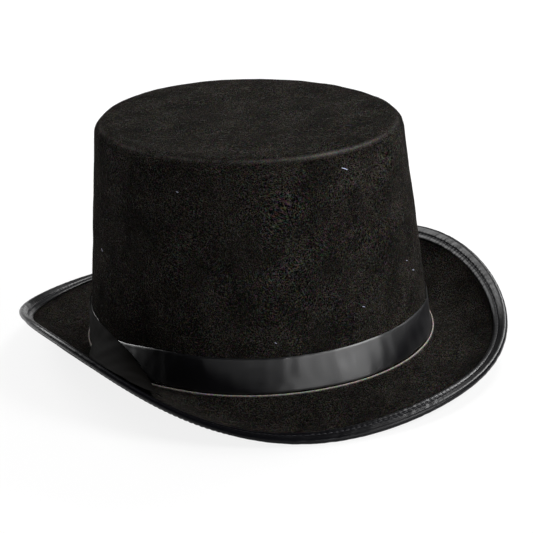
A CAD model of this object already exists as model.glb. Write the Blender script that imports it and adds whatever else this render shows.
"""The looks of a costume top hat, built round its CAD frame: felt, satin ribbon, binding, stitches and inside band.

Lengths are in metres unless a name ends in _mm. Points are found by turn, the angle round the hat from +X towards +Y.
"""

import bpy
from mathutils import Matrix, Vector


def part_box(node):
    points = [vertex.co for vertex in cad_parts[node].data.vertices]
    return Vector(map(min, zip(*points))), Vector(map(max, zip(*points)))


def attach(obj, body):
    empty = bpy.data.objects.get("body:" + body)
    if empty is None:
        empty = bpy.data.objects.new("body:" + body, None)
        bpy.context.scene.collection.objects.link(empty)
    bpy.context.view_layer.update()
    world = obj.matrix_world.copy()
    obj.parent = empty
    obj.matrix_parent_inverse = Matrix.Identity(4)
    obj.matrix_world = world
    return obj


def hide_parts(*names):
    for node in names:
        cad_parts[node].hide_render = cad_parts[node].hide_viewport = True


bl_info = {
    "name": "Felt top hat",
    "version": (1, 0, 0),
    "blender": (4, 5, 0),
    "location": "View3D > Sidebar > Top hat",
    "description": "Builds a pressed felt top hat with satin trimmings round its CAD frame",
    "category": "Add Mesh",
}

import math

import bmesh
import bpy
import numpy as np
from mathutils import Matrix, Vector

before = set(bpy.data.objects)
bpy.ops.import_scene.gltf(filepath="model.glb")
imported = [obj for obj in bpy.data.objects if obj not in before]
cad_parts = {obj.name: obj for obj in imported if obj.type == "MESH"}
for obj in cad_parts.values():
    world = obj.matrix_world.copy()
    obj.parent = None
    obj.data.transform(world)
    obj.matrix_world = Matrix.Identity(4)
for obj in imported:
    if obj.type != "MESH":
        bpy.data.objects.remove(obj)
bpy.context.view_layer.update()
MM = 0.001
TAU = 2.0 * math.pi
CLOTH_UV = "cloth"
RIBBON_FOOT = 2.3 * MM

FELT_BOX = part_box("felt_body")
BAND_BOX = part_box("hat_band")
BINDING_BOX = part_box("brim_binding")
SWEATBAND_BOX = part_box("sweatband")
LABEL_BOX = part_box("label")


def linear(code):
    """Linear colour of an sRGB hex code."""
    values = [int(code[i:i + 2], 16) / 255.0 for i in (0, 2, 4)]
    return tuple(v / 12.92 if v <= 0.04045 else ((v + 0.055) / 1.055) ** 2.4 for v in values)


# ---------------------------------------------------------------- settings

def length(label, text, default):
    return bpy.props.FloatProperty(name=label, description=text, default=default, unit="LENGTH", precision=5)


def colour(label, text, code):
    return bpy.props.FloatVectorProperty(
        name=label, description=text, default=linear(code), subtype="COLOR", size=3, min=0.0, max=1.0)


class HatSizes(bpy.types.PropertyGroup):
    base_length: length("Base length", "Crown's foot, front to back", 0.196)
    base_width: length("Base width", "Crown's foot, side to side", 0.184)
    tip_length: length("Tip length", "Crown's tip, front to back", 0.180)
    tip_width: length("Tip width", "Crown's tip, side to side", 0.1565)
    tip_radius: length("Tip edge", "Radius of the tip's rounded edge", 0.007)
    felt: length("Felt", "Thickness of the felt", 0.0024)
    crease: length("Crease", "How far the pressed crease stands out from the wall", 0.0026)
    brim_length: length("Brim length", "Front to back", BINDING_BOX[1][1] - BINDING_BOX[0][1])
    brim_width: length("Brim width", "Side to side", 0.250)
    edge_height: length("Edge height", "Mean height of the brim's edge over the crown's foot", 0.0081)
    side_roll: length("Side roll", "Rise of the brim's edge at the two sides", 0.0159)
    edge_flattening: length("Edge flattening", "Second wave in the height of the brim's edge", 0.0034)
    ribbon_foot: length("Ribbon foot", "Height of the ribbon over the crown's foot", RIBBON_FOOT)
    ribbon_width: length("Ribbon", "Width of the satin ribbon", BAND_BOX[1][2] - BAND_BOX[0][2])
    binding_width: length("Binding", "Width of the binding on each face of the brim", 0.008)
    binding_groove: length("Binding seam", "Distance of the seam from the binding's hem", 0.0030)
    stitch: length("Stitch", "Length of one stitch of the binding's seam", 0.0030)


class HatColours(bpy.types.PropertyGroup):
    felt_dark: colour("Felt", "Dyed polyester fibres", "040404")
    felt_light: colour("Felt fibres", "Fibres that catch the light", "56514B")
    felt_worn: colour("Pressed edges", "Fibres flattened along the pressed edges", "B4AEA6")
    satin: colour("Satin", "Ribbon and binding", "060609")
    satin_back: colour("Satin's dull side", "Short crossing threads", "0A0908")
    thread: colour("Thread", "Sewing thread", "17171A")
    grosgrain: colour("Sweatband", "Ribbed ribbon inside the crown", "1C1C1E")
    label: colour("Label", "Blank woven label", "D9D6CC")
    floor: colour("Floor", "Studio floor", "F4F4F4")


def sizes():
    return bpy.context.scene.hat_sizes


def colours():
    return bpy.context.scene.hat_colours


# ---------------------------------------------------------------- the hat's surfaces

FOOT_Z = BAND_BOX[0][2] - RIBBON_FOOT
CROWN_HEIGHT = FELT_BOX[1][2] - FOOT_Z
SIDE_ROLL_TURN = math.radians(-10.0)
BRIM_SQUARENESS = 0.010
EDGE_MEAN_SLOPE = 30.0
EDGE_SLOPE_SWING = 29.0
EDGE_SLOPE_FLATTENING = 6.0
GENTLEST_START = math.radians(-9.0)
BINDING_FOLD = 0.45 * MM
UP = np.array((0.0, 0.0, 1.0))


def stack(x, y, z):
    return np.stack(np.broadcast_arrays(x, y, z), axis=-1)


def unit(vectors):
    return vectors / np.linalg.norm(vectors, axis=-1, keepdims=True)


def crown(turn, height, out=0.0):
    """Point of the crown's wall at a height over its foot, moved straight out of the wall by out."""
    s = sizes()
    turn, height, out = np.broadcast_arrays(turn, height, out)
    rise = height / CROWN_HEIGHT
    half_width = (s.base_width + (s.tip_width - s.base_width) * rise) / 2.0
    half_length = (s.base_length + (s.tip_length - s.base_length) * rise) / 2.0
    outward = unit(stack(np.cos(turn) / half_width, np.sin(turn) / half_length, 0.0))
    point = stack(half_width * np.cos(turn), half_length * np.sin(turn), height + FOOT_Z)
    return point + outward * out[..., None]


def brim_poles(turn):
    """Four poles of the brim's upper line at each turn, and the level direction across it."""
    s = sizes()
    rolled = turn - SIDE_ROLL_TURN
    height = s.edge_height + s.side_roll * np.cos(2.0 * rolled) + s.edge_flattening * np.cos(4.0 * turn)
    swing = EDGE_SLOPE_SWING * np.cos(2.0 * rolled) - EDGE_SLOPE_FLATTENING * np.cos(4.0 * rolled)
    slope = np.radians(EDGE_MEAN_SLOPE + swing)[..., None]
    spread = 1.0 + BRIM_SQUARENESS * (1.0 - np.cos(4.0 * turn))
    x = s.brim_width / 2.0 * spread * np.cos(turn)
    y = s.brim_length / 2.0 * spread * np.sin(turn)
    rim = stack(x, y, height + FOOT_Z)
    start = crown(turn, 0.0, s.crease)
    across = unit((rim - start) * (1.0, 1.0, 0.0))
    fold = s.felt / 2.0 + BINDING_FOLD
    along_edge = across * np.cos(slope) + UP * np.sin(slope)
    up_edge = UP * np.cos(slope) - across * np.sin(slope)
    end = rim - along_edge * fold + up_edge * (s.felt / 2.0)
    run = end - start
    chord = np.arctan2(run[..., 2], (run * across).sum(-1))[..., None]
    start_slope = np.maximum(2.0 * chord - slope, GENTLEST_START)
    leaving = across * np.cos(start_slope) + UP * np.sin(start_slope)
    reach = np.linalg.norm(run, axis=-1, keepdims=True) / 3.0
    return start, start + leaving * reach, end - along_edge * reach, end, across


def brim(turn, part, lift=0.0):
    """Point at a share of the way out over the brim, moved off the felt's upper face by lift."""
    turn, part, lift = np.broadcast_arrays(turn, part, lift)
    a, b, c, d, across = brim_poles(turn)
    part = part[..., None]
    back = 1.0 - part
    point = a * back ** 3 + b * (3 * back ** 2 * part) + c * (3 * back * part ** 2) + d * part ** 3
    tangent = unit((b - a) * back ** 2 + (c - b) * (2 * back * part) + (d - c) * part ** 2)
    flat = (tangent * across).sum(-1, keepdims=True)
    normal = UP * flat - across * tangent[..., 2:]
    return point + normal * lift[..., None]


def brim_in(turn, distance, lift=0.0):
    """Point a distance in from the felt's edge, moved off the brim's upper face by lift."""
    _, _, c, d, _ = brim_poles(turn)
    reach = np.linalg.norm(d - c, axis=-1) * 3.0
    return brim(turn, 1.0 - distance / reach, lift)


def brim_round(turn, angle, radius):
    """Point round the felt's edge, by an angle from straight out towards straight up."""
    _, _, c, d, _ = brim_poles(turn)
    upper = brim(turn, 1.0)
    lower = brim(turn, 1.0, -sizes().felt)
    out = unit(d - c)
    up = unit(upper - lower)
    angle, radius = (np.broadcast_to(v, np.shape(turn))[..., None] for v in (angle, radius))
    return (upper + lower) / 2.0 + out * (radius * np.cos(angle)) + up * (radius * np.sin(angle))


def soft_noise(points, wavelength, seed, waves=7):
    """Smooth noise from -1 to 1: a sum of sine waves in random directions."""
    rng = np.random.default_rng(seed)
    total = np.zeros(points.shape[:-1])
    for _ in range(waves):
        direction = unit(rng.normal(size=3)) * (TAU / wavelength) * rng.uniform(0.7, 1.4)
        total += np.sin(points @ direction + rng.uniform(0.0, TAU))
    return total / math.sqrt(waves)


def smooth_step(low, high, value):
    share = np.clip((value - low) / (high - low), 0.0, 1.0)
    return share * share * (3.0 - 2.0 * share)


def turn_gap(turn, centre):
    """Angle from centre to turn, the short way round."""
    return (turn - centre + math.pi) % TAU - math.pi


# ---------------------------------------------------------------- meshes

def finish_piece(obj, material, replaces=()):
    """Give a new piece its material, its body and the CAD nodes it stands for."""
    obj.data.materials.append(material)
    for polygon in obj.data.polygons:
        polygon.use_smooth = True
    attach(obj, "root")
    if replaces:
        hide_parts(*replaces)


def new_object(name, vertices, faces):
    mesh = bpy.data.meshes.new(name)
    mesh.from_pydata(np.asarray(vertices).reshape(-1, 3).tolist(), [], faces)
    mesh.update()
    obj = bpy.data.objects.new(name, mesh)
    bpy.context.scene.collection.objects.link(obj)
    return obj


def grid_object(name, points, along=None, across=None, wrap_rows=False, wrap_columns=True, caps=False):
    """Mesh through a grid of points (rows, columns, 3). along and across give its cloth coordinates in metres."""
    rows, columns = points.shape[:2]
    quads = []
    corners = []
    for i in range(rows if wrap_rows else rows - 1):
        for j in range(columns if wrap_columns else columns - 1):
            i2, j2 = (i + 1) % rows, (j + 1) % columns
            quads.append((i * columns + j, i * columns + j2, i2 * columns + j2, i2 * columns + j))
            corners.append(((i, j), (i, j + 1), (i + 1, j + 1), (i + 1, j)))
    faces = list(quads)
    if caps:
        faces.append(tuple(i * columns for i in range(rows)))
        faces.append(tuple(i * columns + columns - 1 for i in reversed(range(rows))))
    obj = new_object(name, points, faces)
    if along is not None:
        layer = obj.data.uv_layers.new(name=CLOTH_UV)
        values = np.zeros((len(obj.data.loops), 2))
        flat = np.array(corners).reshape(-1, 2)
        values[:len(flat), 0] = np.asarray(along)[flat[:, 1]]
        values[:len(flat), 1] = np.asarray(across)[flat[:, 0]]
        layer.data.foreach_set("uv", values.ravel())
    return obj


def set_attribute(obj, name, values):
    attribute = obj.data.attributes.new(name, "FLOAT", "POINT")
    attribute.data.foreach_set("value", np.asarray(values, dtype=np.float32).ravel())


def mend(obj):
    """Merge doubled points and turn every face outwards."""
    work = bmesh.new()
    work.from_mesh(obj.data)
    bmesh.ops.remove_doubles(work, verts=work.verts, dist=1e-6)
    bmesh.ops.recalc_face_normals(work, faces=work.faces)
    work.to_mesh(obj.data)
    work.free()


def tubes(name, lines, radius, sides=6):
    """Round closed tubes along lines (count, points, 3), with their ends drawn in."""
    count, steps = lines.shape[:2]
    forward = unit(np.gradient(lines, axis=1))
    side = unit(np.cross(forward, np.array((0.31, 0.22, 0.92))))
    lift = np.cross(forward, side)
    taper = np.ones(steps)
    taper[0] = taper[-1] = 0.35
    angles = TAU * np.arange(sides) / sides
    spin = np.cos(angles)[:, None] * side[:, :, None] + np.sin(angles)[:, None] * lift[:, :, None]
    points = lines[:, :, None] + spin * (radius * taper)[None, :, None, None]
    one = []
    for i in range(steps - 1):
        for j in range(sides):
            j2 = (j + 1) % sides
            one.append((i * sides + j, (i + 1) * sides + j, (i + 1) * sides + j2, i * sides + j2))
    ends = [tuple(range(sides)), tuple((steps - 1) * sides + j for j in reversed(range(sides)))]
    per = steps * sides
    faces = [tuple(v + k * per for v in face) for k in range(count) for face in one + ends]
    return new_object(name, points, faces)


# ---------------------------------------------------------------- materials

def fill(tree, node, inputs):
    """Link or set a node's inputs."""
    for name, value in inputs.items():
        if isinstance(value, bpy.types.NodeSocket):
            tree.links.new(value, node.inputs[name])
        else:
            node.inputs[name].default_value = value


def add_node(tree, kind, inputs=None, output=0, **settings):
    """Add a node, set it up, link or fill its inputs, and give one of its outputs."""
    node = tree.nodes.new(kind)
    for name, value in settings.items():
        setattr(node, name, value)
    fill(tree, node, inputs or {})
    return node.outputs[output]


def maths(tree, operation, *values):
    return add_node(tree, "ShaderNodeMath", dict(enumerate(values)), operation=operation)


def noise(tree, place, scale, detail, output=0):
    return add_node(tree, "ShaderNodeTexNoise", {"Vector": place, "Scale": scale, "Detail": detail}, output)


def bump(tree, height, strength, distance):
    return add_node(tree, "ShaderNodeBump", {"Height": height, "Strength": strength, "Distance": distance})


def cloth_place(tree, along_mm, across_mm):
    """Cloth coordinates counted in steps along and across the weave."""
    cloth = add_node(tree, "ShaderNodeUVMap", uv_map=CLOTH_UV)
    return add_node(tree, "ShaderNodeMapping", {"Vector": cloth, "Scale": (along_mm * MM, across_mm * MM, 1.0)},
                    vector_type="TEXTURE")


def opaque(rgb):
    return (*rgb, 1.0)


def blend(tree, share, first, second, **settings):
    """Mix two colours, each a plain colour or a node's output."""
    ends = [end if isinstance(end, bpy.types.NodeSocket) else opaque(end) for end in (first, second)]
    return add_node(tree, "ShaderNodeMix", {"Factor": share, "A": ends[0], "B": ends[1]}, "Result",
                    data_type="RGBA", **settings)


def new_material(name):
    """Empty principled material: (material, its tree, its shader)."""
    material = bpy.data.materials.new(name)
    material.use_nodes = True
    tree = material.node_tree
    return material, tree, tree.nodes["Principled BSDF"]


def streaks(tree, position, turned, long_mm, thin_mm):
    """Noise drawn out along one direction of space, like a lay of fibres. Its values run from about 0.3 to 0.7."""
    size = (long_mm * MM, thin_mm * MM, thin_mm * MM)
    lay = add_node(tree, "ShaderNodeMapping", {"Vector": position, "Rotation": turned, "Scale": size},
                   vector_type="TEXTURE")
    return noise(tree, lay, 1.0, 1.0)


def felt_material():
    """Needle-punched polyester felt, dyed black and heat-pressed.

    It shows as a matt near-black mat of fine fibres lying every way in swirls, with the top ones catching light as
    brown-grey streaks. Real fibres are 0.02 mm thick: they are drawn 0.3 to 0.5 mm wide so that they show.
    """
    c = colours()
    material, tree, shader = new_material("pressed_felt")
    place = add_node(tree, "ShaderNodeTexCoord", output="Object")
    swirl = noise(tree, place, 28.0, 1.0, "Color")
    centred = add_node(tree, "ShaderNodeVectorMath", {0: swirl, 1: (0.5, 0.5, 0.5)}, operation="SUBTRACT")
    pull = add_node(tree, "ShaderNodeVectorMath", {0: centred, "Scale": 0.030}, operation="SCALE")
    swirled = add_node(tree, "ShaderNodeVectorMath", {0: place, 1: pull}, operation="ADD")
    lays = []
    for turned, long_mm in (((0, 0, 0), 5.0), ((0, 0, 1.05), 4.0), ((0, 0, 2.1), 5.0), ((0, 1.2, 0.4), 4.5),
                            ((0, -0.8, 1.9), 4.0)):
        lays.append(streaks(tree, swirled, turned, long_mm, 0.36))
    mat = lays[0]
    for lay in lays[1:]:
        mat = maths(tree, "MAXIMUM", mat, lay)
    fine = noise(tree, place, 1800.0, 1.0)
    body = maths(tree, "MULTIPLY_ADD", fine, 0.30, mat)
    lit = add_node(tree, "ShaderNodeMapRange", {0: body, 1: 0.74, 2: 0.95}, clamp=True)
    worn = add_node(tree, "ShaderNodeAttribute", output="Fac", attribute_name="worn")
    patchy = noise(tree, place, 60.0, 2.0)
    plain = blend(tree, maths(tree, "MULTIPLY", lit, patchy), c.felt_dark, c.felt_light)
    broken = add_node(tree, "ShaderNodeMapRange", {0: fine, 1: 0.2, 2: 0.6, 3: 0.35, 4: 1.0}, clamp=True)
    tone = blend(tree, maths(tree, "MULTIPLY", worn, broken), plain, c.felt_worn)
    tint = noise(tree, swirled, 1500.0, 0.0, "Color")
    fill(tree, shader, {
        "Base Color": blend(tree, 0.85, tone, tint, blend_type="OVERLAY"),
        "Normal": bump(tree, body, 0.8, 0.25 * MM),
        "Roughness": 0.95, "Specular IOR Level": 0.0, "Sheen Weight": 0.008, "Sheen Roughness": 0.45})
    return material


def satin_material(name, rgb, roughness, shine, stretch, lines):
    """Black polyester satin: a warp-faced weave of bright filament.

    Long floats give a soft highlight stretched across them and an almost black body. The filament lines are 0.1 mm
    apart in the cloth and are drawn about 0.5 mm apart so that they show.
    """
    material, tree, shader = new_material(name)
    lay = noise(tree, cloth_place(tree, 25.0, 0.5), 1.0, 3.0)
    specks = noise(tree, cloth_place(tree, 0.5, 0.25), 1.0, 1.0)
    height = maths(tree, "MULTIPLY_ADD", specks, 0.4, lay)
    fill(tree, shader, {
        "Base Color": opaque(rgb),
        "Normal": bump(tree, height, lines, 0.05 * MM),
        "Roughness": add_node(tree, "ShaderNodeMapRange", {0: lay, 1: 0.3, 2: 0.7, 3: roughness - 0.05,
                              4: roughness + 0.07}),
        "Tangent": add_node(tree, "ShaderNodeTangent", direction_type="UV_MAP", uv_map=CLOTH_UV),
        "Specular IOR Level": shine, "Anisotropic": stretch, "Anisotropic Rotation": 0.25})
    return material


def thread_material():
    """Spun polyester thread: two plies twisted together, with a dull sheen and a fine slant across it."""
    material, tree, shader = new_material("polyester_thread")
    plies = noise(tree, add_node(tree, "ShaderNodeTexCoord", output="Object"), 4000.0, 1.0)
    fill(tree, shader, {
        "Base Color": blend(tree, plies, colours().thread, linear("33333A")),
        "Normal": bump(tree, plies, 0.4, 0.05 * MM), "Roughness": 0.5})
    return material


def grosgrain_material():
    """Black grosgrain ribbon: thick weft ribs straight across it, 0.8 mm apart, matt with a dull shine on each rib."""
    material, tree, shader = new_material("grosgrain")
    scaled = cloth_place(tree, 0.8, 0.3)
    ribs = add_node(tree, "ShaderNodeTexWave", {"Vector": scaled, "Scale": 0.5, "Distortion": 0.3,
                    "Detail": 0.0}, "Fac", bands_direction="X")
    height = maths(tree, "MULTIPLY_ADD", noise(tree, scaled, 1.0, 1.0), 0.3, ribs)
    fill(tree, shader, {
        "Base Color": blend(tree, ribs, linear("0E0E10"), colours().grosgrain),
        "Normal": bump(tree, height, 0.8, 0.15 * MM), "Roughness": 0.6})
    return material


def label_material():
    """White woven satin label: smooth off-white cloth with a fine even weave and a soft shine."""
    material, tree, shader = new_material("woven_label")
    scaled = cloth_place(tree, 0.4, 0.3)
    weave = add_node(tree, "ShaderNodeTexChecker", {"Vector": scaled, "Scale": 1.0}, "Fac")
    fill(tree, shader, {
        "Base Color": blend(tree, noise(tree, scaled, 0.05, 2.0), colours().label, linear("C9C4B6")),
        "Normal": bump(tree, weave, 0.5, 0.05 * MM), "Roughness": 0.5})
    return material


def wire_material():
    """Black extruded plastic wire: smooth and slightly shiny, with faint draw lines."""
    material, tree, shader = new_material("extruded_plastic_wire")
    draw = noise(tree, add_node(tree, "ShaderNodeTexCoord", output="Object"), 900.0, 2.0)
    fill(tree, shader, {
        "Base Color": opaque(linear("161616")),
        "Roughness": add_node(tree, "ShaderNodeMapRange", {0: draw, 3: 0.35, 4: 0.5})})
    return material


def fibre_material(name, dark, light):
    """Loose polyester fibres: thin round filaments, each its own shade between two."""
    material, tree, shader = new_material(name)
    shade = add_node(tree, "ShaderNodeAttribute", output="Fac", attribute_name="shade")
    fill(tree, shader, {"Base Color": blend(tree, shade, dark, light), "Roughness": 0.6})
    return material


# ---------------------------------------------------------------- felt

FELT_COLUMNS = 288
FELT_TURNS = TAU * np.arange(FELT_COLUMNS) / FELT_COLUMNS
PRESS_MARK_TURN = math.radians(271.0)
TIP_RUB_TURN = math.radians(262.0)
CREASE_RUB_TURN = math.radians(265.0)
# The pressed crease at the crown's foot: height over the foot in mm, distance out of the wall in mm, wear.
CREASE_PROFILE = (
    (3.4, 0.0, 0.0), (2.4, -0.3, 0.0), (1.8, -0.8, 0.0), (1.2, -1.0, 0.0), (0.6, -0.8, 0.0), (0.25, -0.2, 0.0),
    (0.2, 0.5, 0.0), (0.45, 1.0, 0.0), (0.9, 1.3, 0.05), (1.3, 1.5, 0.9), (1.35, 1.9, 1.0), (1.0, 2.15, 0.25),
    (0.6, 2.4, 0.0), (0.25, 2.65, 0.0))
FIBRE_COUNT = 9000
FIBRE_RADIUS = 0.022 * MM
FIBRE_MARGIN = 13.0 * MM


def tip_row(share, drop, inset):
    """Row of the tip: share of the way out to where its edge starts to round, drop below the tip's top."""
    return crown(FELT_TURNS, CROWN_HEIGHT - drop, -inset) * (share, share, 1.0)


def felt_outside_rows():
    """Rows of the felt's outside, from the tip's middle out and down to the brim's edge."""
    s = sizes()
    rows = [tip_row(share, 0.0, s.tip_radius) for share in np.linspace(0.0, 0.97, 22)]
    worn = [0.0] * len(rows)
    rubbed = np.exp(-(turn_gap(FELT_TURNS, TIP_RUB_TURN) / 0.4) ** 2)
    tip_wear = 0.03 + 0.13 * rubbed + 0.03 * np.sin(FELT_TURNS * 37.0) * np.sin(FELT_TURNS * 23.0)
    for swing in np.linspace(0.0, math.pi / 2.0, 11):
        drop = s.tip_radius * (1.0 - math.cos(swing))
        rows.append(tip_row(1.0, drop, s.tip_radius * (1.0 - math.sin(swing))))
        worn.append(tip_wear * math.exp(-((math.degrees(swing) - 36.0) / 8.0) ** 2))
    for height in np.linspace(CROWN_HEIGHT - s.tip_radius - 2.0 * MM, 4.5 * MM, 44):
        rows.append(crown(FELT_TURNS, height))
        worn.append(0.0)
    creased = 0.55 + 0.45 * np.exp(-(turn_gap(FELT_TURNS, CREASE_RUB_TURN) / 0.9) ** 2)
    for height_mm, out_mm, wear in CREASE_PROFILE:
        rows.append(crown(FELT_TURNS, height_mm * MM, out_mm * MM))
        worn.append(wear * creased)
    for part in np.linspace(0.02, 1.0, 26):
        rows.append(brim(FELT_TURNS, part))
        worn.append(0.0)
    return rows, worn


def felt_inside_rows():
    """Rows of the felt's underside and inside, from the brim's edge back up to the middle of the tip."""
    s = sizes()
    rows = [brim(FELT_TURNS, part, -s.felt) for part in np.linspace(1.0, 0.1, 22)]
    rows += [crown(FELT_TURNS, -share * s.felt, -(1.0 - 0.7 * share) * s.felt) for share in (1.0, 0.5)]
    top = CROWN_HEIGHT - s.tip_radius - 2.0 * MM
    rows += [crown(FELT_TURNS, height, -s.felt) for height in np.linspace(0.0, top, 34)]
    inner = s.tip_radius - s.felt
    for swing in np.linspace(math.pi / 2.0, 0.0, 7):
        drop = s.felt + inner * (1.0 - math.cos(swing))
        rows.append(tip_row(1.0, drop, s.felt + inner * (1.0 - math.sin(swing))))
    rows += [tip_row(share, s.felt, s.tip_radius) for share in np.linspace(0.95, 0.0, 16)]
    return rows


def felt_relief(points):
    """How far the felt strays from its mould, in metres: soft dents of a hat that has been packed and handled."""
    wide = soft_noise(points, 90.0 * MM, 3) * 0.35
    middling = soft_noise(points, 28.0 * MM, 4) * 0.16
    small = soft_noise(points, 9.0 * MM, 5) * 0.05
    return (wide + middling + small) * MM


def press_mark(points):
    """Short upright crease at the front of the tip's edge, as a depth in metres."""
    turn = np.arctan2(points[..., 1] / sizes().base_length, points[..., 0] / sizes().base_width)
    across = turn_gap(turn, PRESS_MARK_TURN) * 90.0
    height = (points[..., 2] - FOOT_Z - CROWN_HEIGHT) / MM
    depth = np.exp(-(across / 0.9) ** 2) * smooth_step(-26.0, -9.0, height) * smooth_step(1.0, -2.0, height)
    lips = np.exp(-((np.abs(across) - 2.2) / 1.1) ** 2) * smooth_step(-20.0, -8.0, height)
    return (0.55 * depth - 0.16 * lips * smooth_step(1.0, -2.0, height)) * MM


class HAT_OT_felt_body(bpy.types.Operator):
    """Crown and brim of pressed felt, as one closed shell"""
    bl_idname = "hat.felt_body"
    bl_label = "Felt body"

    def execute(self, context):
        outside, worn = felt_outside_rows()
        inside = felt_inside_rows()
        obj = grid_object("felt_shell", np.array(outside + inside))
        wear = [np.full(FELT_COLUMNS, row) for row in worn + [0.0] * len(inside)]
        set_attribute(obj, "worn", np.concatenate(wear))
        mend(obj)
        count = len(obj.data.vertices)
        points = np.empty(count * 3)
        normals = np.empty(count * 3)
        obj.data.vertices.foreach_get("co", points)
        obj.data.vertices.foreach_get("normal", normals)
        points = points.reshape(-1, 3)
        out = unit(points * (1.0, 1.0, 0.35))
        level = np.clip((points[:, 2] - FOOT_Z) / (12.0 * MM), 0.0, 1.0)
        points += out * (felt_relief(points) * (0.35 + 0.65 * level))[:, None]
        points -= normals.reshape(-1, 3) * press_mark(points)[:, None]
        obj.data.vertices.foreach_set("co", points.ravel())
        obj.data.update()
        finish_piece(obj, felt_material(), ("felt_body",))
        return {"FINISHED"}


def clear_of_binding(points):
    """Whether points on the felt lie further in than the binding reaches, with room for a loose fibre."""
    edge = brim(FELT_TURNS, 1.0)
    around = np.arctan2(edge[:, 1], edge[:, 0])
    order = np.argsort(around)
    reach = np.interp(np.arctan2(points[:, 1], points[:, 0]), around[order],
                      np.hypot(edge[:, 0], edge[:, 1])[order], period=TAU)
    return np.hypot(points[:, 0], points[:, 1]) < reach - FIBRE_MARGIN


class HAT_OT_felt_fibres(bpy.types.Operator):
    """Loose ends of fibre that stand off the felt, thickest along the worn edge of the tip"""
    bl_idname = "hat.felt_fibres"
    bl_label = "Felt fibres"

    def execute(self, context):
        rng = np.random.default_rng(11)
        shell = bpy.data.objects["felt_shell"]
        shell.data.calc_loop_triangles()
        triangles = np.empty(len(shell.data.loop_triangles) * 3, dtype=np.int64)
        shell.data.loop_triangles.foreach_get("vertices", triangles)
        triangles = triangles.reshape(-1, 3)
        points = np.empty(len(shell.data.vertices) * 3)
        shell.data.vertices.foreach_get("co", points)
        points = points.reshape(-1, 3)
        worn = np.empty(len(points), dtype=np.float32)
        shell.data.attributes["worn"].data.foreach_get("value", worn)
        a, b, c = (points[triangles[:, i]] for i in range(3))
        cross = np.cross(b - a, c - a)
        area = np.linalg.norm(cross, axis=1)
        weight = area * (1.0 + 5.0 * worn[triangles].mean(axis=1)) * clear_of_binding((a + b + c) / 3.0)
        count = FIBRE_COUNT
        chosen = rng.choice(len(triangles), count, p=weight / weight.sum())
        first, second = rng.random(count), rng.random(count)
        over = first + second > 1.0
        first[over], second[over] = 1.0 - first[over], 1.0 - second[over]
        start = a[chosen] + (b - a)[chosen] * first[:, None] + (c - a)[chosen] * second[:, None]
        normal = unit(cross[chosen])
        along = unit(np.cross(normal, rng.normal(size=(count, 3))))
        bend = np.cross(normal, along) * rng.normal(0.0, 0.5, (count, 1))
        reach = rng.uniform(1.5, 4.5, (count, 1)) * MM
        rise = np.abs(rng.normal(0.0, 0.18, (count, 1))) * MM
        lines = []
        for share in (0.0, 0.33, 0.66, 1.0):
            lift = rise * math.sin(math.pi * min(share, 0.8)) + 0.02 * MM
            lines.append(start + (along + bend * share) * reach * share + normal * lift)
        obj = tubes("felt_fibres", np.stack(lines, axis=1), FIBRE_RADIUS, sides=3)
        set_attribute(obj, "shade", np.repeat(rng.random(count) ** 2, 12))
        c = colours()
        finish_piece(obj, fibre_material("felt_fibre", c.felt_dark, c.felt_light))
        return {"FINISHED"}


# ---------------------------------------------------------------- satin

def section_loop(width, thickness, steps):
    """Closed outline of a ribbon's section: lists of its place across (0 to 1) and off its middle, in metres."""
    across = np.linspace(0.0, 1.0, steps)
    edge = np.minimum(across, 1.0 - across) * width
    half = thickness / 2.0 * np.sqrt(np.clip(1.0 - (1.0 - np.clip(edge / thickness, 0.0, 1.0)) ** 2, 0.04, 1.0))
    return np.concatenate([across, across[::-1]]), np.concatenate([half, -half[::-1]])


def ribbon(name, middle, width, thickness, along, wrap, steps=20):
    """Ribbon with thickness round middle(across), which gives a (columns, 3) line for each place across it."""
    across, offset = section_loop(width, thickness, steps)
    lines = np.array([middle(share) for share in across[:steps]])
    if wrap:
        closed = np.concatenate([lines[:, -1:], lines, lines[:, :1]], axis=1)
        forward = (closed[:, 2:] - closed[:, :-2])
    else:
        forward = np.gradient(lines, axis=1)
    normals = unit(np.cross(forward, np.gradient(lines, axis=0)))
    lines = np.concatenate([lines, lines[::-1]])
    normals = np.concatenate([normals, normals[::-1]])
    points = lines + normals * offset[:, None, None]
    places = np.concatenate([across * width, [0.0]])
    return grid_object(name, points, along, places, wrap_rows=True, wrap_columns=wrap, caps=not wrap)


def arc_lengths(line, closed):
    """Distance along a line of points, with the way back to its start added if it is closed."""
    if closed:
        line = np.concatenate([line, line[:1]])
    return np.concatenate([[0.0], np.cumsum(np.linalg.norm(np.diff(line, axis=0), axis=1))])


RIBBON_THICKNESS = 0.35 * MM
THREAD_RADIUS = 0.14 * MM
BAND_TURNS = TAU * np.arange(540) / 540


def band_line(across):
    """Line round the crown at a place across the ribbon: it lies close, but ripples and slips a little."""
    s = sizes()
    turn = BAND_TURNS
    slip = -3.2 * MM * np.exp(-(turn_gap(turn, math.radians(178.0)) / 0.22) ** 2)
    slip += 0.9 * MM * np.exp(-(turn_gap(turn, math.radians(285.0)) / 0.35) ** 2)
    height = s.ribbon_foot - 0.4 * MM + s.ribbon_width * across + slip * across
    place = crown(turn, height)
    ripple = 0.16 * soft_noise(place, 26.0 * MM, 21) + 0.10 * soft_noise(place * (1, 1, 0.3), 9.0 * MM, 22)
    flare = 0.45 * (1.0 - across) ** 3
    out = (0.45 + np.maximum(ripple, -0.2) + flare) * MM + felt_relief(place)
    return crown(turn, height, out)


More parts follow.
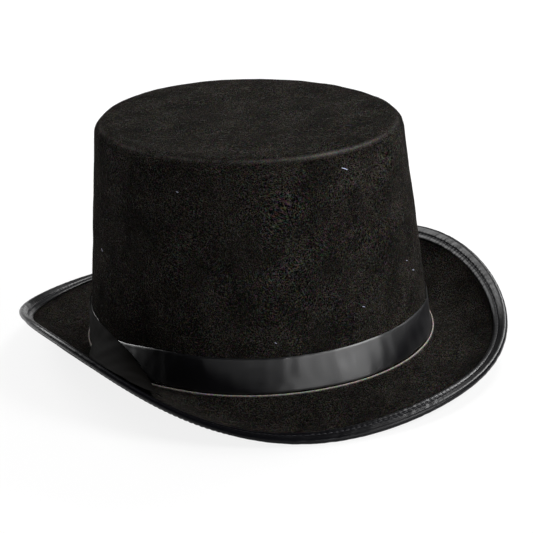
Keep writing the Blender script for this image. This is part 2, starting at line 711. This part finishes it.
class HAT_OT_hat_band(bpy.types.Operator):
    """Satin ribbon round the foot of the crown"""
    bl_idname = "hat.hat_band"
    bl_label = "Ribbon band"

    def execute(self, context):
        s = sizes()
        along = arc_lengths(band_line(0.5), True)
        obj = ribbon("ribbon_band", band_line, s.ribbon_width, RIBBON_THICKNESS, along, True)
        satin = satin_material("polyester_satin_ribbon", colours().satin, 0.38, 1.0, 0.92, 0.4)
        finish_piece(obj, satin, ("hat_band",))
        return {"FINISHED"}


TAIL_START_TURN = math.radians(122.0)
TAIL_LEAVING_TURN = math.radians(150.0)
TAIL_END_TURN = math.radians(195.5)
TAIL_STAND_OFF = 1.3 * MM
TAIL_CUT_SLANT = 28.0 * MM
TAIL_CUT_LEAD = 20.0 * MM
TAIL_STEPS = 90
TACK_TURN = math.radians(127.0)


def tail_shares():
    first = (TAIL_START_TURN - TAIL_LEAVING_TURN) / (TAIL_END_TURN - TAIL_LEAVING_TURN)
    return np.linspace(first, 1.0, TAIL_STEPS)


def tail_edges():
    """Upper and lower edge of the ribbon's loose end: off the wall, down the outside and out over the brim."""
    s = sizes()
    share = tail_shares()
    gone = np.maximum(share, 0.0)
    turn = TAIL_LEAVING_TURN + (TAIL_END_TURN - TAIL_LEAVING_TURN) * share
    upper = crown(turn, s.ribbon_foot + s.ribbon_width * (1.0 - gone ** 4), TAIL_STAND_OFF)
    cut = gone ** 2.5
    ahead = turn + 2.0 * TAIL_CUT_LEAD * cut / s.base_width
    wall = crown(ahead, s.ribbon_foot, TAIL_STAND_OFF)
    ease = smooth_step(0.0, 0.6, gone)
    over = brim(ahead, 0.38 * ease + 0.47 * gone ** 4, TAIL_STAND_OFF)
    away = wall * (1.0 - ease)[:, None] + over * ease[:, None] - upper
    width = np.minimum(np.hypot(s.ribbon_width, TAIL_CUT_SLANT * cut), np.linalg.norm(away, axis=1))
    return upper, upper + unit(away) * width[:, None]


def tail_line(across):
    """Line along the loose end at a place across it, with the soft hollows of a ribbon that hangs free."""
    upper, lower = tail_edges()
    gone = np.maximum(tail_shares(), 0.0)
    free = smooth_step(0.05, 0.5, gone)
    line = lower * (1.0 - across) + upper * across
    normal = unit(np.cross(np.gradient((upper + lower) / 2.0, axis=0), upper - lower))
    belly = 1.3 * math.sin(math.pi * across) * free * np.cos(3.0 * gone)
    pocket = -1.6 * np.exp(-((gone - 0.42) / 0.14) ** 2 - ((across - 0.55) / 0.22) ** 2)
    ripple = 0.25 * soft_noise(line, 14.0 * MM, 31) * free
    curl = 1.6 * smooth_step(0.86, 1.0, gone) * (across - 0.5) * -1.0
    return line + normal * ((belly + pocket + ripple + curl) * MM)[:, None]


class HAT_OT_band_tail(bpy.types.Operator):
    """Loose end of the ribbon, that slides off the band and lies across the brim"""
    bl_idname = "hat.band_tail"
    bl_label = "Ribbon's loose end"

    def execute(self, context):
        s = sizes()
        along = arc_lengths(tail_line(0.5), False)
        obj = ribbon("ribbon_tail", tail_line, s.ribbon_width, RIBBON_THICKNESS, along, False)
        back = satin_material("polyester_satin_back", colours().satin_back, 0.75, 0.03, 0.5, 0.4)
        finish_piece(obj, back, ("band_tail",))
        return {"FINISHED"}


class HAT_OT_tack_stitches(bpy.types.Operator):
    """Stitches that tack the start of the loose end to the band"""
    bl_idname = "hat.tack_stitches"
    bl_label = "Tack stitches"

    def execute(self, context):
        s = sizes()
        lines = []
        for share in (0.15, 0.38, 0.62, 0.85):
            height = s.ribbon_foot + s.ribbon_width * share
            for slant in (-1.0, 1.0):
                spread = np.linspace(-1.0, 1.0, 7)
                out = (1.65 + 0.35 * np.cos(spread * math.pi / 2.0)) * MM
                lines.append(crown(TACK_TURN + spread * 0.013, height + slant * spread * 0.6 * MM, out))
        obj = tubes("tack_stitches", np.array(lines), 0.16 * MM)
        finish_piece(obj, thread_material(), ("band_tack_stitches",))
        return {"FINISHED"}


# ---------------------------------------------------------------- binding

BINDING_TURNS = TAU * np.arange(1440) / 1440


def stitch_wave():
    """Height of each place round the binding's seam within its stitch: 1 in a stitch's middle, 0 at its holes."""
    edge = arc_lengths(brim(BINDING_TURNS, 1.0), True)
    stitches = round(edge[-1] / sizes().stitch)
    return np.abs(np.sin(math.pi * edge[:-1] / edge[-1] * stitches)), edge, stitches


def binding_leg():
    """Distance in from the felt's edge to the binding's hem, and to its seam."""
    s = sizes()
    leg = s.binding_width - s.felt / 2.0 - BINDING_FOLD
    return leg, leg - s.binding_groove


def binding_profile():
    """Stations over the binding from its upper hem round the fold to its lower hem.

    Each is (kind, distance in from the felt's edge or angle round it, stand-off in mm, share of seam pucker).
    """
    leg, seam = binding_leg()
    stations = [("leg", distance, stand_off, pucker) for distance, stand_off, pucker in (
        (leg, 0.30, 0.0), (leg + 0.12 * MM, 0.60, 0.1), (leg - 0.15 * MM, 0.85, 0.2), (leg - 0.7 * MM, 0.95, 0.3),
        (seam + 1.2 * MM, 0.88, 0.6), (seam + 0.6 * MM, 0.66, 0.9), (seam + 0.25 * MM, 0.42, 1.0),
        (seam, 0.34, 1.0), (seam - 0.25 * MM, 0.42, 1.0), (seam - 0.6 * MM, 0.62, 0.9),
        (seam - 1.2 * MM, 0.72, 0.6), (seam * 0.45, 0.62, 0.2), (seam * 0.2, 0.52, 0.0), (0.0, 0.48, 0.0))]
    fold = [("fold", math.radians(degrees), 0.42, 0.0) for degrees in range(72, -73, -18)]
    under = [("under", distance, 0.16 + 0.28 * stand_off, 0.3 * pucker)
             for _, distance, stand_off, pucker in reversed(stations)]
    return stations + fold + under


def binding_rows(inner):
    """Rows of the binding's face, or of its inner face against the felt."""
    felt = sizes().felt
    wave, _, _ = stitch_wave()
    rows = []
    for kind, place, stand_off, pucker in binding_profile():
        off = np.full(len(BINDING_TURNS), 0.06) if inner else stand_off + pucker * 0.14 * (wave - 0.5)
        if kind == "fold":
            rows.append(brim_round(BINDING_TURNS, place, felt / 2.0 + off * MM))
        elif kind == "leg":
            rows.append(brim_in(BINDING_TURNS, place, off * MM))
        else:
            rows.append(brim_in(BINDING_TURNS, place, -felt - off * MM))
    return np.array(rows)


def binding_wrinkles(rows):
    """Slanting drag lines of tape cut on the bias and pulled round a curve, as heights in metres."""
    edge = arc_lengths(brim(BINDING_TURNS, 1.0), True)[:-1]
    across = arc_lengths(rows[:, 0], False)
    slanted = edge[None, :] + 0.9 * across[:, None]
    rng = np.random.default_rng(41)
    total = np.zeros(slanted.shape)
    for wavelength_mm, height_mm in ((7.3, 0.035), (4.7, 0.03), (11.9, 0.05), (3.1, 0.015)):
        waves = round(edge[-1] / (wavelength_mm * MM))
        fade = 0.5 + 0.5 * np.sin(TAU * rng.integers(5, 19) * edge / edge[-1] + rng.uniform(0, TAU))
        total += height_mm * np.sin(TAU * waves * slanted / edge[-1] + rng.uniform(0.0, TAU)) * fade[None, :]
    return total * MM


class HAT_OT_brim_binding(bpy.types.Operator):
    """Satin bias tape folded over the brim's edge, with hems, a sunk seam and drag lines"""
    bl_idname = "hat.brim_binding"
    bl_label = "Brim binding"

    def execute(self, context):
        outer = binding_rows(False)
        inner = binding_rows(True)
        share = np.array([0.35 if kind == "under" else 1.0 for kind, _, _, _ in binding_profile()])
        outer = outer + unit(outer - inner) * (binding_wrinkles(outer) * share[:, None])[..., None]
        rows = np.concatenate([outer, inner[::-1]])
        edge = arc_lengths(brim(BINDING_TURNS, 1.0), True)
        across = arc_lengths(outer[:, 0], False)
        places = np.concatenate([across, across[::-1], [0.0]])
        obj = grid_object("satin_binding", rows, edge, places, wrap_rows=True)
        tape_satin = satin_material("polyester_satin_bias_tape", colours().satin, 0.32, 0.14, 0.3, 0.6)
        finish_piece(obj, tape_satin, ("brim_binding",))
        return {"FINISHED"}


class HAT_OT_binding_stitches(bpy.types.Operator):
    """Lockstitch seam through the binding: needle thread above the brim, bobbin thread below"""
    bl_idname = "hat.binding_stitches"
    bl_label = "Binding stitches"

    def execute(self, context):
        _, edge, stitches = stitch_wave()
        _, seam = binding_leg()
        for name, node, above in (("needle_stitches", "binding_needle_thread", True),
                                  ("bobbin_stitches", "binding_bobbin_thread", False)):
            shares = np.linspace(0.06, 0.94, 7)
            places = (np.arange(stitches)[:, None] + shares[None, :]) * edge[-1] / stitches
            turn = np.interp(places, edge, np.append(BINDING_TURNS, TAU))
            bow = np.sin(math.pi * shares)[None, :]
            lift = (0.30 + 0.30 * bow) * MM
            if not above:
                lift = -sizes().felt - lift * 0.85
            line = brim_in(turn, np.full(turn.shape, seam), np.broadcast_to(lift, turn.shape))
            obj = tubes(name, line, THREAD_RADIUS)
            finish_piece(obj, thread_material(), (node,))
        return {"FINISHED"}


class HAT_OT_brim_wire(bpy.types.Operator):
    """Plastic wire in the fold of the binding: the CAD piece, with its own finish"""
    bl_idname = "hat.brim_wire"
    bl_label = "Brim wire"

    def execute(self, context):
        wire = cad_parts["brim_wire"]
        wire.data.materials.clear()
        wire.data.materials.append(wire_material())
        return {"FINISHED"}


# ---------------------------------------------------------------- inside the crown

SWEATBAND_FOOT = SWEATBAND_BOX[0][2] - FOOT_Z
SWEATBAND_WIDTH = SWEATBAND_BOX[1][2] - SWEATBAND_BOX[0][2]
SWEATBAND_SEAM_TURN = math.radians(86.0)
SWEATBAND_STITCHES = 160
LABEL_FOOT = LABEL_BOX[0][2] - FOOT_Z
LABEL_HEIGHT = LABEL_BOX[1][2] - LABEL_BOX[0][2]
LABEL_WIDTH = LABEL_BOX[1][0] - LABEL_BOX[0][0]
LABEL_TURN = math.pi / 2.0
LABEL_STITCHES = 14
# Lint: turn in degrees, height over the foot in mm, length in mm, how pale.
LINT = (
    (205.0, 104.0, 1.2, 0.6), (265.0, 112.0, 4.2, 1.0), (268.0, 39.0, 1.5, 0.7), (237.0, 28.0, 1.2, 0.5),
    (298.0, 44.0, 2.2, 0.9), (293.0, 52.0, 1.5, 0.5), (40.0, 70.0, 3.0, 0.7), (110.0, 90.0, 2.0, 0.8),
    (165.0, 60.0, 2.4, 0.6), (350.0, 95.0, 1.8, 0.6))


def sweatband_line(across):
    """Line round the inside of the crown at a place across the sweatband, which leans a little off the felt."""
    height = SWEATBAND_FOOT + SWEATBAND_WIDTH * across
    place = crown(BAND_TURNS, height)
    seam = turn_gap(BAND_TURNS, SWEATBAND_SEAM_TURN)
    lean = 0.45 * across ** 2 * (1.0 + 0.6 * soft_noise(place, 60.0 * MM, 51))
    step = 0.35 * smooth_step(-0.012, 0.012, seam) * smooth_step(0.25, 0.10, np.abs(seam))
    return crown(BAND_TURNS, height, felt_relief(place) - sizes().felt - (0.55 + lean + step) * MM)


class HAT_OT_sweatband(bpy.types.Operator):
    """Grosgrain sweatband inside the foot of the crown, with its seam"""
    bl_idname = "hat.sweatband"
    bl_label = "Sweatband"

    def execute(self, context):
        along = arc_lengths(sweatband_line(0.5), True)
        obj = ribbon("grosgrain_sweatband", sweatband_line, SWEATBAND_WIDTH, 0.6 * MM, along, True)
        finish_piece(obj, grosgrain_material(), ("sweatband",))
        spread = np.linspace(-0.40, 0.40, 7)
        centres = TAU * (np.arange(SWEATBAND_STITCHES) + 0.5) / SWEATBAND_STITCHES
        turn = centres[:, None] + spread[None, :] * TAU / SWEATBAND_STITCHES
        seam = [crown(turn, 3.0 * MM, -sizes().felt - (0.80 + 0.25 * np.cos(spread * 3.0)) * MM),
                crown(turn, 1.25 * MM, (-0.95 + 0.15 * np.cos(spread * 3.0)) * MM)]
        stitches = tubes("sweatband_seam", np.concatenate(seam), THREAD_RADIUS)
        finish_piece(stitches, thread_material(), ("sweatband_stitches",))
        return {"FINISHED"}


def label_line(across):
    """Line along the label at a height on it; its free edges curl off the sweatband a little."""
    half = LABEL_WIDTH / sizes().base_width
    spread = np.linspace(-1.0, 1.0, 40)
    height = LABEL_FOOT + LABEL_HEIGHT * (1.0 - across)
    curl = 0.25 + 0.7 * np.abs(spread) ** 4 * across + 0.5 * across ** 3
    return crown(LABEL_TURN + spread * half, height, -sizes().felt - (1.35 + curl) * MM)


class HAT_OT_label(bpy.types.Operator):
    """Blank woven label at the back of the sweatband, held by a row of stitches"""
    bl_idname = "hat.label"
    bl_label = "Label"

    def execute(self, context):
        along = arc_lengths(label_line(0.5), False)
        obj = ribbon("woven_label", label_line, LABEL_HEIGHT, 0.3 * MM, along, False, steps=16)
        finish_piece(obj, label_material(), ("label",))
        top = label_line(0.08)
        half = LABEL_WIDTH / sizes().base_width
        spread = np.linspace(-0.4, 0.4, 5)
        centres = (np.arange(LABEL_STITCHES) + 0.5) / LABEL_STITCHES * 2.0 - 1.0
        turn = LABEL_TURN + (centres[:, None] + spread[None, :] * 2.0 / LABEL_STITCHES) * half * 0.95
        level = float(top[0, 2]) - FOOT_Z
        out = -sizes().felt - (1.75 + 0.2 * np.cos(spread * 3.0)) * MM
        stitches = tubes("label_stitches", crown(turn, level, np.broadcast_to(out, turn.shape)), 0.12 * MM)
        finish_piece(stitches, thread_material())
        return {"FINISHED"}


class HAT_OT_lint(bpy.types.Operator):
    """A few specks and ends of pale lint that black felt picks up"""
    bl_idname = "hat.lint"
    bl_label = "Lint"

    def execute(self, context):
        rng = np.random.default_rng(61)
        lines = []
        shades = []
        for degrees, height_mm, long_mm, shade in LINT:
            place = crown(math.radians(degrees), height_mm * MM, 0.15 * MM)
            out = unit(place * (1.0, 1.0, 0.0))
            along = unit(np.cross(out, UP) * 0.9 + UP * 0.45)
            sway = np.cross(out, along) * rng.uniform(-0.3, 0.3)
            share = np.linspace(-0.5, 0.5, 7)[:, None]
            lines.append(place + along * share * long_mm * MM + sway * share ** 2 * long_mm * MM
                         + out * felt_relief(place))
            shades.append(shade)
        obj = tubes("lint", np.array(lines), 0.13 * MM)
        set_attribute(obj, "shade", np.repeat(shades, 7 * 6))
        finish_piece(obj, fibre_material("lint", linear("6E6C78"), linear("C9CCF0")))
        return {"FINISHED"}


# ---------------------------------------------------------------- stage

CAMERA_AZIMUTH = math.radians(-35.85)
CAMERA_ELEVATION = math.radians(20.26)
CAMERA_ROLL = math.radians(3.49)
CAMERA_DISTANCE = 0.938
CAMERA_LENS_MM = 114.6
CAMERA_TARGET_RIGHT = 5.75 * MM
CAMERA_TARGET_HEIGHT = 34.5 * MM
LAMP_TARGET_HEIGHT = 0.06
FLOOR_GLOW_SEEN = 0.85
FLOOR_GLOW_MIRRORED = 0.2
WORLD_STRENGTH = 0.03
# Name, degrees to the right of the camera, degrees up, distance, width and height in metres, power in watts.
LAMPS = (
    ("key", 32.0, 12.0, 1.7, 1.2, 0.35, 11.0),
    ("right", 65.0, 34.0, 1.7, 0.8, 1.2, 28.0),
    ("back", 180.0, 50.0, 1.8, 1.6, 1.6, 8.0),
    ("far_right", 148.0, 42.0, 1.7, 0.5, 0.5, 20.0),
    ("left", -135.0, 32.0, 1.7, 0.8, 0.8, 22.0))


def towards(around, up):
    """Direction from the hat, by an angle round it from its front and an angle up."""
    return Vector((math.sin(around) * math.cos(up), -math.cos(around) * math.cos(up), math.sin(up)))


def add_camera():
    back = towards(CAMERA_AZIMUTH, CAMERA_ELEVATION)
    right = Vector((math.cos(CAMERA_AZIMUTH), math.sin(CAMERA_AZIMUTH), 0.0))
    up = back.cross(right)
    target = right * CAMERA_TARGET_RIGHT + Vector((0.0, 0.0, FOOT_Z + CAMERA_TARGET_HEIGHT))
    rolled_right = right * math.cos(CAMERA_ROLL) - up * math.sin(CAMERA_ROLL)
    rolled_up = right * math.sin(CAMERA_ROLL) + up * math.cos(CAMERA_ROLL)
    data = bpy.data.cameras.new("camera")
    data.lens = CAMERA_LENS_MM
    camera = bpy.data.objects.new("camera", data)
    turned = Matrix((rolled_right, rolled_up, back)).transposed().to_4x4()
    camera.matrix_world = Matrix.Translation(target + back * CAMERA_DISTANCE) @ turned
    bpy.context.scene.collection.objects.link(camera)
    bpy.context.scene.camera = camera


def add_lamp(name, around, up, distance, width, height, power):
    """Soft box lamp that faces the hat."""
    away = towards(CAMERA_AZIMUTH + math.radians(around), math.radians(up))
    data = bpy.data.lights.new(name, "AREA")
    data.shape = "RECTANGLE"
    data.size = width
    data.size_y = height
    data.energy = power
    lamp = bpy.data.objects.new(name, data)
    lamp.location = away * distance + Vector((0.0, 0.0, LAMP_TARGET_HEIGHT))
    lamp.rotation_euler = away.to_track_quat("Z", "Y").to_euler()
    bpy.context.scene.collection.objects.link(lamp)


def studio_floor_material():
    """White paper sweep: matt and even, lit to white, with the hat's soft shadow on it."""
    material, tree, shader = new_material("paper_sweep")
    fill(tree, shader, {"Base Color": opaque(colours().floor), "Roughness": 0.9})
    rays = tree.nodes.new("ShaderNodeLightPath").outputs
    mirrored = maths(tree, "MAXIMUM", rays["Is Glossy Ray"], rays["Is Transmission Ray"])
    seen = maths(tree, "MULTIPLY", rays["Is Camera Ray"], FLOOR_GLOW_SEEN)
    share = maths(tree, "MULTIPLY_ADD", mirrored, FLOOR_GLOW_MIRRORED, seen)
    glow = add_node(tree, "ShaderNodeEmission", {"Color": opaque((1.0, 1.0, 1.0)), "Strength": 1.0})
    mixed = add_node(tree, "ShaderNodeMixShader", {0: share, 1: shader.outputs[0], 2: glow})
    fill(tree, tree.nodes["Material Output"], {"Surface": mixed})
    return material


def add_world():
    """Dim even light from the room."""
    world = bpy.data.worlds.new("studio")
    bpy.context.scene.world = world
    world.use_nodes = True
    fill(world.node_tree, world.node_tree.nodes["Background"],
         {"Color": opaque((1.0, 1.0, 1.0)), "Strength": WORLD_STRENGTH})


class HAT_OT_stage(bpy.types.Operator):
    """White paper floor, soft studio lamps and the camera"""
    bl_idname = "hat.stage"
    bl_label = "Stage"

    def execute(self, context):
        bpy.ops.mesh.primitive_plane_add(size=12.0, location=(0.0, 0.0, 0.0))
        floor = context.object
        floor.name = "floor"
        floor.data.materials.append(studio_floor_material())
        add_world()
        for lamp in LAMPS:
            add_lamp(*lamp)
        add_camera()
        context.scene.view_settings.view_transform = "Standard"
        return {"FINISHED"}


# ---------------------------------------------------------------- add-on

OPERATORS = (
    HAT_OT_felt_body, HAT_OT_felt_fibres, HAT_OT_hat_band, HAT_OT_band_tail, HAT_OT_tack_stitches,
    HAT_OT_brim_binding, HAT_OT_binding_stitches, HAT_OT_brim_wire, HAT_OT_sweatband, HAT_OT_label, HAT_OT_lint,
    HAT_OT_stage,
)


class HAT_PT_panel(bpy.types.Panel):
    """Sizes, colours and pieces of the top hat"""
    bl_idname = "HAT_PT_panel"
    bl_label = "Top hat"
    bl_space_type = "VIEW_3D"
    bl_region_type = "UI"
    bl_category = "Top hat"

    def draw(self, context):
        for group in (context.scene.hat_sizes, context.scene.hat_colours):
            box = self.layout.box()
            for name in group.__annotations__:
                box.prop(group, name)
        for operator in OPERATORS:
            self.layout.operator(operator.bl_idname)


CLASSES = (HatSizes, HatColours) + OPERATORS + (HAT_PT_panel,)


def register():
    for one in CLASSES:
        bpy.utils.register_class(one)
    bpy.types.Scene.hat_sizes = bpy.props.PointerProperty(type=HatSizes)
    bpy.types.Scene.hat_colours = bpy.props.PointerProperty(type=HatColours)


def unregister():
    del bpy.types.Scene.hat_sizes
    del bpy.types.Scene.hat_colours
    for one in reversed(CLASSES):
        bpy.utils.unregister_class(one)


def main():
    register()
    bpy.ops.hat.felt_body()
    bpy.ops.hat.felt_fibres()
    bpy.ops.hat.hat_band()
    bpy.ops.hat.band_tail()
    bpy.ops.hat.tack_stitches()
    bpy.ops.hat.brim_binding()
    bpy.ops.hat.binding_stitches()
    bpy.ops.hat.brim_wire()
    bpy.ops.hat.sweatband()
    bpy.ops.hat.label()
    bpy.ops.hat.lint()
    bpy.ops.hat.stage()


if __name__ == "__main__":
    main()
